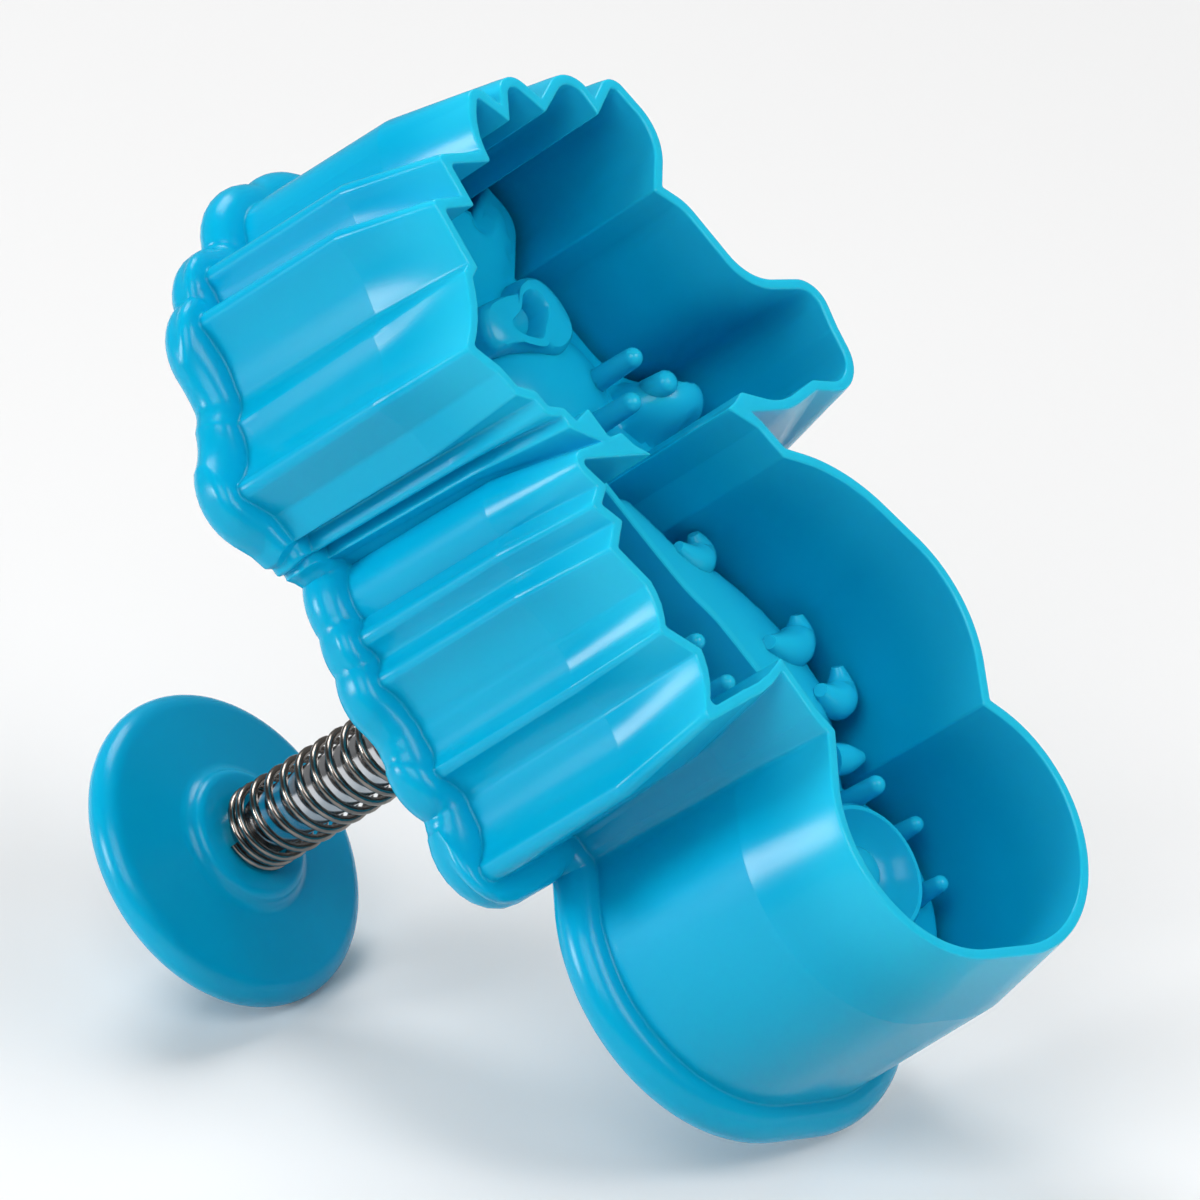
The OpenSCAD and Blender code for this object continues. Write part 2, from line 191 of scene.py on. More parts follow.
class Outline:
    """A closed line of lobes and notches that can be grown outwards or inwards."""

    def __init__(self, items, skipped=()):
        """Take the items but the skipped ones, whose points are spread along the straight stretch."""
        self.items, self.count = items, len(items)
        self.runs, self.flutes = [], {}
        for i, item in enumerate(items):
            if item[:2] in skipped:
                self.runs[-1] += self.corner_count(item) + self.line_steps(i)
                if item[:2] in FLUTED:
                    self.flutes[len(self.runs) - 1] = []
            else:
                self.runs.append(self.line_steps(i))
        self.items = [item for item in items if item[:2] not in skipped]
        self.count = len(self.items)

    def follow(self, fine):
        """Take the shape of each fluted stretch from a finer ring: share of the way along it, and rise."""
        first = 0
        for i, steps in enumerate(self.runs):
            first += self.corner_count(self.items[i])
            if i in self.flutes:
                start, end = fine[first - 1], fine[(first + steps) % len(fine)]
                chord = end - start
                out = Vector((chord.y, -chord.x)) / chord.length
                self.flutes[i] = deeper([((p - start).dot(chord) / chord.dot(chord), (p - start).dot(out))
                                         for p in fine[first:first + steps]])
            first += steps

    def item(self, i):
        return self.items[i % self.count]

    def is_sharp(self, i):
        return len(self.item(i)) == 2

    def is_notch(self, i):
        return self.is_sharp(i) or self.item(i)[2] < 0

    def place(self, i):
        return Vector(self.item(i)[:2])

    def step(self, i):
        return self.place(i + 1) - self.place(i)

    def radius(self, i):
        return 0 if self.is_notch(i) else self.item(i)[2]

    def heading(self, i):
        """Direction of the line that leaves an item."""
        step = self.step(i)
        lean = (self.radius(i) - self.radius(i + 1)) / step.length
        return atan2(step.y, step.x) + asin(lean)

    def facing(self, i):
        """Direction in which that line looks outwards."""
        return self.heading(i) - pi / 2

    def turn(self, i):
        """How far the line turns at an item."""
        change = self.facing(i) - self.facing(i - 1)
        return (change + pi / 2) % (2 * pi) - pi / 2

    def line_steps(self, i):
        length = self.step(i).length - self.radius(i) - self.radius(i + 1)
        return max(2, min(MOST_STEPS, round(length / LINE_STEP))) - 1

    def corner_count(self, item):
        if len(item) == 2:
            return VALLEY_STEPS
        if item[2] < 0:
            return NOTCH_STEPS + 1
        return int(min(LOBE_MOST, LOBE_LEAST + LOBE_PER_MM * item[2]))

    def share(self, i, soft):
        """Share of the growth that rounds a lobe."""
        item = self.item(i)
        if len(item) == 4:
            return item[3]
        return 1 if item[2] > RIDGE_R else soft

    def lobe(self, i, out, soft):
        """Middle and radius of a lobe once the line has grown by out."""
        radius = max(LEAST_R, self.radius(i) + out * self.share(i, soft))
        turn = self.turn(i)
        shift = (out - radius + self.radius(i)) / cos(min(turn, MOST_TURN) / 2)
        return self.place(i) + shift * unit(self.facing(i - 1) + turn / 2), radius

    def reach(self, i, out):
        """How far out the grown line lies from the origin."""
        return self.place(i).dot(unit(self.facing(i))) + self.radius(i) + out

    def lines_meet(self, i, j, out):
        """Where two grown lines cross."""
        a, b = unit(self.facing(i)), unit(self.facing(j))
        p, q = self.reach(i, out), self.reach(j, out)
        return Vector((p * b.y - q * a.y, a.x * q - b.x * p)) / (a.x * b.y - a.y * b.x)

    def on_line(self, centre, radius, i, out, way):
        """Where a circle cuts a grown line, on the side way."""
        normal = unit(self.facing(i))
        rise = self.reach(i, out) - centre.dot(normal)
        run = sqrt(max(0, radius * radius - rise * rise))
        return centre + rise * normal + way * run * unit(self.heading(i))

    def notch(self, i, out, soft):
        """Tip of a notch once the line has grown: where its sides or the lobes beside it meet."""
        c, r = self.lobe(i - 1, out, soft)
        b, s = self.lobe(i + 1, out, soft)
        before, after = unit(self.heading(i - 1)), unit(self.heading(i))
        start, end = c + r * unit(self.facing(i - 1)), b + s * unit(self.facing(i))
        meet = self.lines_meet(i - 1, i, out)
        early, late = (meet - start).dot(before), (end - meet).dot(after)
        if early >= 0 and late >= 0:
            return meet
        leave = self.on_line(c, r, i, out, 1)
        if early < 0 and (end - leave).dot(after) >= 0:
            return leave
        enter = self.on_line(b, s, i - 1, out, -1)
        if late < 0 and (enter - start).dot(before) >= 0:
            return enter
        step = b - c
        along = (step.length_squared + r * r - s * s) / (2 * step.length)
        across = sqrt(max(0, r * r - along * along))
        return c + (along * step + across * Vector((step.y, -step.x))) / step.length

    def notch_arc(self, i, out):
        """Points round the bottom of a rounded notch."""
        radius = max(LEAST_R, -self.item(i)[2] - out)
        centre = self.lines_meet(i - 1, i, out + radius)
        turn = remainder(self.facing(i) - self.facing(i - 1), 2 * pi)
        turns = [self.facing(i - 1) + turn * k / NOTCH_STEPS for k in range(NOTCH_STEPS + 1)]
        return [centre - radius * unit(a) for a in turns]

    def lobe_arc(self, i, out, soft):
        """Points round a lobe, from the notch or line before it to the one after it."""
        centre, radius = self.lobe(i, out, soft)
        first = self.facing(i - 1)
        last = first + self.turn(i)
        start, end = first, last
        if self.is_sharp(i - 1):
            a = self.notch(i - 1, out, soft) - centre
            start = first + max(0, remainder(atan2(a.y, a.x) - first, 2 * pi))
        if self.is_sharp(i + 1):
            b = self.notch(i + 1, out, soft) - centre
            end = last + min(0, remainder(atan2(b.y, b.x) - last, 2 * pi))
        count = self.corner_count(self.item(i))
        return [centre + radius * unit(start + (end - start) * k / (count - 1)) for k in range(count)]

    def corner(self, i, out, soft):
        if not self.is_notch(i):
            return self.lobe_arc(i, out, soft)
        if self.is_sharp(i):
            return [self.notch(i, out, soft)]
        return self.notch_arc(i, out)

    def hollow(self, i):
        """Whether the stretch after an item is one side of a flute, between a ridge and a notch."""
        ridge = 0 < self.radius(i) + self.radius(i + 1) <= RIDGE_R
        return self.step(i).length < FLUTE_L and ridge and self.is_sharp(i) != self.is_sharp(i + 1)

    def ring(self, out, soft, valley, flute=0):
        """All points of the grown line, with notches rounded over the width valley and with flutes."""
        sharp = [self.corner(i, out, soft) for i in range(self.count)]
        corners = list(sharp)
        for i in range(self.count):
            if self.is_sharp(i):
                after = sharp[(i + 1) % self.count][0]
                corners[i] = self.soft_valley(sharp[i][0], sharp[i - 1][-1], after, valley)
        points = []
        for i in range(self.count):
            start, end = corners[i][-1], corners[(i + 1) % self.count][0]
            inward = -unit(self.facing(i))
            sag = SAGS.get(self.item(i)[:2], 0) + HOLLOW * flute * self.hollow(i)
            sag *= (end - start).length
            points += corners[i]
            for along, rise in self.flutes.get(i, ()):
                points.append(start.lerp(end, along) - inward * rise * flute)
            for k in range(1, 1 if i in self.flutes else self.runs[i] + 1):
                t = (1 - cos(pi * k / (self.runs[i] + 1))) / 2
                points.append(start.lerp(end, t) + inward * sag * 4 * t * (1 - t))
        return points

    def soft_valley(self, tip, before, after, width):
        """A small round in place of a notch's tip."""
        back, on = before - tip, after - tip
        a = tip + back * min(VALLEY_SHARE, width / max(width, back.length))
        b = tip + on * min(VALLEY_SHARE, width / max(width, on.length))
        curve = []
        for k in range(VALLEY_STEPS):
            t = k / (VALLEY_STEPS - 1)
            curve.append(a * (1 - t) ** 2 + tip * 2 * t * (1 - t) + b * t * t)
        return curve


# Points closer than this, in millimetres, are welded.
WELD = 0.004
# Edges that turn by more than this stay crisp.
CRISP = radians(40)


def angles(count):
    """Evenly spaced angles round a circle."""
    return [2 * pi * k / count for k in range(count)]


class Skin:
    """Points and faces of one mesh, in millimetres."""

    def __init__(self):
        self.points = []
        self.faces = []

    def loop(self, points):
        """Add points and return their numbers."""
        first = len(self.points)
        self.points += [tuple(p) for p in points]
        return list(range(first, len(self.points)))

    def level(self, flat, z):
        """Add a flat ring at a height."""
        return self.loop([(p.x, p.y, z) for p in flat])

    def oval(self, rx, ry, z, count, centre=(0, 0)):
        """Add an oval ring at a height."""
        x, y = centre
        return self.loop([(x + rx * cos(a), y + ry * sin(a), z) for a in angles(count)])

    def rows(self, rings):
        """Join a list of closed rings of as many points, one after the other."""
        for a, b in zip(rings, rings[1:]):
            for k in range(len(a)):
                n = (k + 1) % len(a)
                self.faces.append((a[k], a[n], b[n], b[k]))
        return rings

    def fill(self, *loops):
        """Flat faces inside the first loop and outside the others."""
        spaced = [self.apart(loop) for loop in loops]
        numbers = [k for loop in spaced for k in loop]
        corners = [[Vector(self.points[k]) for k in loop] for loop in spaced]
        for three in tessellate_polygon(corners):
            self.faces.append([numbers[k] for k in three])

    def apart(self, loop):
        """The loop's numbers without points that lie on the one before."""
        pairs = zip(loop[-1:] + loop, loop)
        return [k for j, k in pairs if dist(self.points[j], self.points[k]) > WELD]

    def lathe(self, profile, count, centre=(0, 0)):
        """Turn a profile of radius and height pairs round an upright axis."""
        return self.rows([self.oval(r, r, z, count, centre) for r, z in profile])

    def bar(self, rings):
        """Join rings and close both ends."""
        self.rows(rings)
        self.faces += [rings[0][::-1], rings[-1]]

    def mound(self, rings):
        """Join rings and close the last one."""
        self.rows(rings)
        self.faces.append(rings[-1])

    def tube(self, path, radii, sides):
        """Sweep a round along a path."""
        rings = []
        for i, p in enumerate(path):
            along = tangent(path, i)
            side = along.cross(Vector((0, 0, 1))).normalized()
            up = side.cross(along)
            around = [cos(a) * side + sin(a) * up for a in angles(sides)]
            rings.append(self.loop([p + radii[i] * way for way in around]))
        self.bar(rings)

    def mesh(self, name):
        """Welded mesh in metres with its faces turned outwards."""
        mesh = bpy.data.meshes.new(name)
        mesh.from_pydata([tuple(c * MM for c in p) for p in self.points], [], self.faces)
        form = bmesh.new()
        form.from_mesh(mesh)
        bmesh.ops.remove_doubles(form, verts=form.verts, dist=WELD * MM)
        bmesh.ops.recalc_face_normals(form, faces=form.faces)
        form.to_mesh(mesh)
        form.free()
        return mesh


def tangent(path, i):
    """Direction of a path at one of its points."""
    return (path[min(i + 1, len(path) - 1)] - path[max(i - 1, 0)]).normalized()


def place_new(name, data):
    """A new object in the scene."""
    made = bpy.data.objects.new(name, data)
    bpy.context.scene.collection.objects.link(made)
    return made


def show(name, skin, material, body, node):
    """Put a finished skin in the scene in place of its CAD node, riding on its body."""
    mesh = skin.mesh(name)
    if not mesh.polygons:
        raise RuntimeError(f"{name} has no faces")
    mesh.shade_smooth()
    mesh.set_sharp_from_angle(angle=CRISP)
    mesh.materials.append(material)
    piece = place_new(name, mesh)
    even = piece.modifiers.new("even_shading", "WEIGHTED_NORMAL")
    even.keep_sharp = True
    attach(piece, body)
    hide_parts(node)
    return piece


def arc(centre, radius, start, end, steps):
    """Points of a circle in a profile, angles in degrees."""
    turns = [radians(start + (end - start) * k / steps) for k in range(steps + 1)]
    return [(centre[0] + radius * cos(a), centre[1] + radius * sin(a)) for a in turns]


def between(a, b, count):
    """Evenly spaced values from a to b."""
    return [mix(a, b, k / (count - 1)) for k in range(count)]


def mix(a, b, t):
    """The value at a share t of the way from a to b."""
    return a + (b - a) * t


def tone(name):
    """One of the scene's colours, opaque."""
    return (*getattr(bpy.context.scene.cutter_colours, name), 1)


def start_material(name):
    """A new material, its nodes, its shader and the place on the object in metres."""
    made = bpy.data.materials.new(name)
    made.use_nodes = True
    tree = made.node_tree
    place = add(tree, "ShaderNodeTexCoord").outputs["Object"]
    return made, tree, tree.nodes["Principled BSDF"], place


def noise(tree, place, size, detail):
    """Noise whose features measure size millimetres."""
    inputs = {"Vector": place, "Scale": 1 / (size * MM), "Detail": detail}
    return add(tree, "ShaderNodeTexNoise", inputs).outputs["Fac"]


def blend(tree, share, first, second):
    """The first colour with a share of the second in it."""
    inputs = {"Factor": share, "A": first, "B": second}
    return add(tree, "ShaderNodeMix", inputs, data_type="RGBA").outputs["Result"]


def spread(tree, value, given, wanted, kind="LINEAR"):
    """A value taken from one range to another."""
    names = "Value", "From Min", "From Max", "To Min", "To Max"
    inputs = dict(zip(names, (value, *given, *wanted)))
    return add(tree, "ShaderNodeMapRange", inputs, interpolation_type=kind).outputs["Result"]


def combine(tree, operation, first, second):
    """Result of a maths node on two values."""
    return add(tree, "ShaderNodeMath", {0: first, 1: second}, operation=operation).outputs[0]


# Painted glow: the plastic is painted paler towards the open end, in place of light that shines through
# the thin lip and the relief's tips. For each name the heights in millimetres where the painted glow
# starts and where it is full, and the share of the pale tone there.
PAINTED_GLOW = {"moulded_abs_painted_glow": (8, 0, 0.75), "relief_abs_painted_glow": (17, 10, 0.8)}


def moulded_plastic_painted_glow(name="moulded_abs_painted_glow"):
    """ABS, injection moulded in a polished tool: an even opaque blue with a clear gloss.

    The eye gets soft streaks of light along each ridge, a faint orange peel in the gloss, slightly
    deeper and lighter clouds where the melt flowed, and hair scratches from handling. Near the open
    end the colour is painted paler: a painted glow in place of light through the thin plastic.
    """
    made = bpy.data.materials.get(name)
    if made:
        return made
    made, tree, shader, place = start_material(name)
    clouds = noise(tree, place, 16, 3)
    tint = blend(tree, clouds, tone("plastic_deep"), tone("plastic_light"))
    # Painted glow: a paler colour towards the open end, standing in for light through the thin plastic.
    height = add(tree, "ShaderNodeSeparateXYZ", {"Vector": place}).outputs["Z"]
    start, full, glow = PAINTED_GLOW[name]
    thin = spread(tree, height, (full * MM, start * MM), (glow, 0), "SMOOTHSTEP")
    leaning = {"Vector": place, "Scale": (1, 1, 0.06), "Rotation": (0.5, 0.3, 0)}
    hairs = noise(tree, add(tree, "ShaderNodeMapping", leaning).outputs["Vector"], 0.5, 2)
    peel = noise(tree, place, 1.4, 2)
    skin = add(tree, "ShaderNodeBump", {"Height": peel, "Strength": 0.2, "Distance": 0.02 * MM})
    feed(tree, shader, {
        "Base Color": blend(tree, thin, tint, tone("plastic_painted_glow")),
        "Roughness": spread(tree, hairs, (0.45, 0.75), (0.22, 0.25)),
        "Normal": skin.outputs["Normal"],
        "IOR": 1.53,
        "Specular IOR Level": 0.18,
        "Subsurface Weight": 0.3,
        "Subsurface Radius": (0.3, 1, 1.4),
        "Subsurface Scale": 1.5 * MM,
    })
    return made


def polished_steel():
    """Stainless steel rod, centreless ground and polished: a bright mirror with fine rings round it."""
    made, tree, shader, place = start_material("polished_steel_rod")
    squeeze = add(tree, "ShaderNodeMapping", {"Vector": place, "Scale": (0.1, 0.1, 1)})
    rings = noise(tree, squeeze.outputs["Vector"], 0.3, 2)
    feed(tree, shader, {
        "Base Color": tone("rod"),
        "Metallic": 1,
        "Roughness": spread(tree, rings, (0, 1), (0.08, 0.2)),
    })
    return made


def drawn_wire():
    """Spring steel wire, cold drawn: a dark grey shine with darker patches and small changes of gloss."""
    made, tree, shader, place = start_material("drawn_spring_wire")
    patches = noise(tree, place, 2.2, 3)
    feed(tree, shader, {
        "Base Color": blend(tree, patches, tone("wire_dark"), tone("wire_light")),
        "Metallic": 1,
        "Roughness": spread(tree, noise(tree, place, 0.25, 2), (0, 1), (0.12, 0.3)),
    })
    return made


def length(name, description, millimetres):
    """A length property, given in millimetres and held in metres."""
    return bpy.props.FloatProperty(
        name=name, description=description, default=millimetres * MM, unit="LENGTH")


def colour(name, description, code):
    """A colour property from an sRGB hex value."""
    return bpy.props.FloatVectorProperty(
        name=name, description=description, default=linear(code), subtype="COLOR", min=0, max=1)


class CutterSizes(bpy.types.PropertyGroup):
    """Sizes of the cutter that the CAD frame doesn't fix by itself."""

    edge_t: length("Edge thickness", "Thickness of the cutting edge", 0.9)
    shoulder_t: length("Shoulder thickness", "Wall thickness where the thin lip begins", 2.6)
    lip_h: length("Lip depth", "Depth of the thin lip", 9)
    wall_t: length("Foot thickness", "Wall thickness above the flange", 3)
    flange_out: length("Flange reach", "From the cavity to the flange's edge", 5.3)
    bead_r: length("Flange radius", "Radius of the flange's rounded edge", 2)
    foot_r: length("Foot fillet", "Hollow between the wall and the flange", 0.2)
    stamp_gap: length("Stamp gap", "Gap between the stamp and the cavity's wall", 0.8)
    stamp_round: length("Stamp edge", "Radius of the stamp's pillowed edge", 0.7)
    wire_d: length("Wire", "Diameter of the spring wire", 0.7)
    spring_d: length("Spring", "Outer diameter of the spring", 7.4)
    rod_d: length("Rod", "Diameter of the rod", 5)
    knob_d: length("Knob", "Diameter of the knob", 27.5)


class CutterColours(bpy.types.PropertyGroup):
    """Colours of the cutter's materials."""

    plastic_deep: colour("Plastic, deep", "Deeper tone of the plastic", "#00A6CE")
    plastic_light: colour("Plastic, light", "Lighter tone of the plastic", "#05B0D9")
    # Pale tone painted near the open end as a painted glow, for light through the thin plastic.
    plastic_painted_glow: colour("Plastic, thin", "Paler tone of thin plastic", "#24C4E6")
    rod: colour("Rod", "Polished steel of the rod", "#C9CBCE")
    wire_dark: colour("Wire, dark", "Darker tone of the spring wire", "#6A6561")
    wire_light: colour("Wire, light", "Lighter tone of the spring wire", "#9A938C")
    floor: colour("Floor", "Plain pale floor", "#E2E2E2")


def sizes():
    """The scene's lengths in millimetres."""
    group = bpy.context.scene.cutter_sizes
    return SimpleNamespace(**{name: getattr(group, name) / MM for name in CutterSizes.__annotations__})


# Heights along the axis in millimetres, read from the frame.
SHELL_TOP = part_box("cutter_shell")[1].z / MM
STAMP_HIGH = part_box("stamp_plate")[1].z / MM
ROD_LOW, ROD_HIGH = (corner.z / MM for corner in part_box("plunger_rod"))
KNOB_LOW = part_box("push_knob")[0].z / MM
# Thickness of the back plate, height and radius of the guide boss, and radius of the bore.
BACK_T, GUIDE_H, GUIDE_R, BORE_R = 3, 3, 5.5, 2.58
# Points round the rod and the bosses.
ROUND_COUNT = 64

# Share of the growth that rounds the ridges at the lip, at the foot and on the flange.
LIP_SOFT, FOOT_SOFT, BEAD_SOFT = 0.14, 0.22, 0.9
# Width of the soft valleys at the rim, the shoulder, the foot and the flange.
RIM_VALLEY, LIP_VALLEY, FOOT_VALLEY, BEAD_VALLEY = 0.2, 0.5, 1, 0.8
# Share of the flutes' depth that is left on the flange, and the rings over which the line turns soft.
BEAD_FLUTE, BEAD_BLEND = 0.3, 6
# Radius of the cutting edge's tiny rounds, and height over which the shoulder turns.
KEEN_R, SHOULDER_R = 0.18, 0.15
# Rings of each stretch of the shell, and heights of the first ones of the lip and of the cavity.
KEEN_STEPS, LIP_RINGS, WALL_RINGS, FOOT_STEPS, BEAD_STEPS, CAVITY_RINGS = 3, 6, 8, 5, 14, 5
LIP_START, CAVITY_START = 1, 2


def outer_rings(s):
    """Flat rings and heights of the shell's outside, from the edge to the back."""
    lip_line, wall_line = Outline(LIP_LINE), Outline(LIP_LINE, LIP_ONLY | FLUTED)
    lip, thick = s.lip_h, s.edge_t
    wall_line.follow(lip_line.ring(thick, LIP_SOFT, RIM_VALLEY))
    keen = arc((thick - KEEN_R, KEEN_R), KEEN_R, -90, 0, KEEN_STEPS)
    rings = [(lip_line.ring(out, LIP_SOFT, RIM_VALLEY), z) for out, z in keen]
    edge, shoulder = rings[-1][0], wall_line.ring(s.shoulder_t, LIP_SOFT, LIP_VALLEY, 1)
    for z in between(LIP_START, lip, LIP_RINGS):
        rings.append(([p.lerp(q, z / lip) for p, q in zip(edge, shoulder)], z))
    bead_z, bead_out = SHELL_TOP - s.bead_r, s.flange_out - s.bead_r
    foot_out = s.wall_t + s.foot_r
    drop = sqrt((s.bead_r + s.foot_r) ** 2 - (foot_out - bead_out) ** 2)
    foot_z = bead_z - drop
    for z in between(lip + SHOULDER_R, foot_z, WALL_RINGS):
        t = (z - lip) / (foot_z - lip)
        out = mix(s.shoulder_t, s.wall_t, t)
        soft, valley = mix(LIP_SOFT, FOOT_SOFT, t), mix(LIP_VALLEY, FOOT_VALLEY, t)
        rings.append((wall_line.ring(out, soft, valley, 1), z))
    lean = degrees(atan2(drop, foot_out - bead_out))
    foot = arc((foot_out, foot_z), s.foot_r, 180, 180 - lean, FOOT_STEPS)[1:]
    rings += [(wall_line.ring(out, FOOT_SOFT, FOOT_VALLEY, 1), z) for out, z in foot]
    for k, (out, z) in enumerate(arc((bead_out, bead_z), s.bead_r, -lean, 90, BEAD_STEPS)[1:]):
        t = min(1, (k + 1) / BEAD_BLEND)
        soft, valley = mix(FOOT_SOFT, BEAD_SOFT, t), mix(FOOT_VALLEY, BEAD_VALLEY, t)
        rings.append((wall_line.ring(out, soft, valley, mix(1, BEAD_FLUTE, t)), z))
    return rings


class Step:
    """What the building steps share."""

    def execute(self, context):
        self.build(sizes(), Skin())
        return {"FINISHED"}


class CUTTER_OT_shell(Step, bpy.types.Operator):
    """Build the moulded shell: cutting wall, flange, back plate and guide"""

    bl_idname = "cutter.shell"
    bl_label = "Cutter shell"

    def build(self, s, skin):
        rim = Outline(RIM_LINE)
        outside = skin.rows([skin.level(flat, z) for flat, z in outer_rings(s)])
        ceiling = SHELL_TOP - BACK_T
        keen = [(KEEN_R - r, z) for r, z in arc((0, KEEN_R), KEEN_R, -90, 0, KEEN_STEPS)]
        depth = keen + [(0, z) for z in between(CAVITY_START, ceiling, CAVITY_RINGS)]
        inside = skin.rows([skin.level(rim.ring(out, LIP_SOFT, RIM_VALLEY), z) for out, z in depth])
        guide_z = ceiling - GUIDE_H
        guide = skin.lathe([
            (GUIDE_R, ceiling), (GUIDE_R, guide_z), (BORE_R, guide_z), (BORE_R, SHELL_TOP)], ROUND_COUNT)
        skin.fill(outside[0], inside[0])
        skin.fill(inside[-1], guide[0])
        skin.fill(outside[-1], guide[-1])
        show("moulded_shell", skin, moulded_plastic_painted_glow(), "shell", "cutter_shell")


# Heights of the stamp's face and back along the axis in millimetres, at rest.
FACE_Z, PLATE_BACK_Z = 15.5, 18.1
# Rings round the plate's edge, and depth of the relief's roots in the plate.
EDGE_STEPS, ROOT = 5, 0.5
# Radius of the rod's boss, and how far it reaches into the plate.
SOCKET_R, SOCKET_LAP = 5, 1
# Pegs that prick the dough: place, radius and height above the face.
PEGS = [
    (-9.6, 16.2, 0.85, 6), (-6.5, 13.2, 0.85, 6), (2.4, -5.5, 0.7, 6), (1.9, -9.5, 0.7, 6),
    (-8.9, -22.7, 0.8, 4.7), (-11.9, -27.1, 0.7, 3.5), (-10.6, -32.1, 0.7, 3.5),
]
# How much wider a peg is at its neck and root, the neck's height, and points round it and over its tip.
PEG_NECK, PEG_NECK_H, PEG_ROOT = 1.15, 1, 1.5
PEG_COUNT, TIP_COUNT = 20, 6
# The blade along the middle of the body, top to bottom, its height, thickness and broken edge.
BLADE = [
    (2.8, 10), (2.1, 5.8), (1.4, 2), (0.6, -1.6), (-0.6, -5), (-1.5, -9.7), (-2.2, -13), (-3.2, -16.5),
]
BLADE_H, BLADE_T, BLADE_CHIP = 6, 0.7, 0.1
# The edge that the belly's swell runs down to, top to bottom, the swell's height, the power by which it
# falls, and where it fades at either end.
SWELL_EDGE = [
    (-4, 8.2), (-6, 5), (-8.6, 1.2), (-11, -2), (-13, -6), (-14.3, -10), (-14.4, -13.5), (-13, -17.5),
    (-10.8, -20.5),
]
SWELL_H, SWELL_POWER = 4.4, 2.4
SWELL_TOP, SWELL_FOOT = (9.5, 6.5), (-21, -15)
# Scales on the belly, each the crest of a curved fin: place, height and radius.
SCALES = [
    [(-3.7, 1.6, 3.8, 0.5), (-5.2, 0.2, 3.1, 1.2), (-6.5, -0.1, 2.5, 1.5), (-7.5, 0.6, 2.4, 1.2),
     (-7.4, 1.8, 2.8, 0.5)],
    [(-6.4, -8.6, 4.4, 0.6), (-8.8, -9.7, 3.4, 1.4), (-11, -10, 2.5, 1.7), (-12.7, -9.3, 2.3, 1.3),
     (-13.1, -8, 2.8, 0.5)],
    [(-9.2, -14, 4, 0.6), (-10.8, -15.2, 3.1, 1.4), (-12.5, -15.4, 2.4, 1.6), (-13.7, -14.6, 2.3, 1.2),
     (-14, -13.2, 2.8, 0.5)],
    [(-8.2, -19.2, 2, 1.4), (-9.6, -19.8, 2.3, 1.2), (-10.9, -20.3, 2.6, 0.5)],
]
# Low domes on the face: middle, half length, half width, turn in degrees and height.
DOMES = [(-5, 32, 7.5, 6, 0, 1), (-5, 17.5, 6.5, 5.5, 20, 1.7), (-14.7, 11.9, 4.6, 3.2, 20, 4.2)]
# Outer edge of the eye's soft mound and edge of its hole, anticlockwise from the right.
EYE_LINE = [
    (0.5, 24), (-0.8, 25.7), (-3.4, 25.8), (-5.2, 25.5), (-7.1, 26.2), (-8.7, 25.5), (-9.5, 23.5),
    (-9.4, 21.2), (-8.4, 19.9), (-6.3, 19.5), (-4.3, 20.5), (-2, 21.6), (0.3, 22.3),
]
HOLE_LINE = [
    (-2.4, 23.1), (-2.6, 23.6), (-3.4, 23.8), (-4.3, 24.1), (-5.3, 24.9), (-6.4, 25), (-7.1, 24.4),
    (-7.2, 23.3), (-6.5, 22.5), (-5.6, 21.9), (-4.6, 21.3), (-3.5, 21.8), (-2.7, 22.5),
]
# Rows of the eye on each line, from the outside: how large, and how high.
EYE_ROWS = [
    (EYE_LINE, [(1.05, -0.5), (1, 1.5), (0.96, 2), (0.88, 2.4)]),
    (HOLE_LINE, [(1.4, 2.6), (1.05, 2.6), (0.92, 2.3), (0.8, 0.6), (0.3, 0.3)]),
]
# Bump of the nose, bowl and lump of the tail, by their middles: half length, half width and height of
# oval rows from the outside.
MOUNDS = {
    (-13, 13.2): [(1.2, 1.2, 2), (1, 1, 4.2), (0.8, 0.8, 4.55), (0.45, 0.45, 4.75), (0.1, 0.1, 4.8)],
    (-4, -28): [
        (6.5, 6.3, -0.5), (6.2, 6, 1.6), (6, 5.8, 2.5), (5.6, 5.4, 3), (5.3, 5.1, 2.95), (5.1, 4.9, 2.6),
        (4.4, 4.2, 1.6), (3.2, 3, 0.8), (1.5, 1.4, 0.5), (0.2, 0.2, 0.4)],
    (-3.2, -27.6): [(2, 2.2, 0.3), (1.8, 2, 2.6), (1.6, 1.8, 3.2), (1.1, 1.3, 3.6), (0.2, 0.2, 3.7)],
}
OVAL_COUNT = 72
# Points between two given ones on the blade and on other curves, and round a scale.
BLADE_STEPS, CURVE_STEPS, SCALE_SIDES = 8, 6, 14
# Spacing of the face's points, the height of their rows and their least gap to the border as shares of
# it, and the width over which the relief fades.
FACE_STEP, ROW_SHARE, BORDER_SHARE, FACE_FADE = 0.45, 0.87, 0.6, 1.4


def line_x(line, y):
    """X of a line given from top to bottom, at y."""
    for a, b in zip(line, line[1:]):
        if y >= b[1]:
            return mix(a[0], b[0], min(1, (a[1] - y) / (a[1] - b[1])))
    return line[-1][0]


def ease(low, high, value):
    """Smooth step from 0 at low to 1 at high."""
    t = max(0, min(1, (value - low) / (high - low)))
    return t * t * (3 - 2 * t)


def relief(x, y):
    """Height of the stamp's face above its edge: the belly's swell and the low domes of the head."""
    ridge, edge = line_x(BLADE, y), line_x(SWELL_EDGE, y)
    t = (ridge - BLADE_T / 4 - x) / (ridge - edge)
    height = 0
    if 0 <= t < 1:
        height = SWELL_H * (1 - t ** SWELL_POWER) * ease(*SWELL_TOP, y) * ease(*SWELL_FOOT, y)
    for cx, cy, rx, ry, turn, rise in DOMES:
        p = Matrix.Rotation(-radians(turn), 2) @ Vector((x - cx, y - cy))
        far = (p.x / rx) ** 2 + (p.y / ry) ** 2
        if far < 1:
            height = max(height, rise * (1 - far) * (1 + far) ** 0.5)
    return height


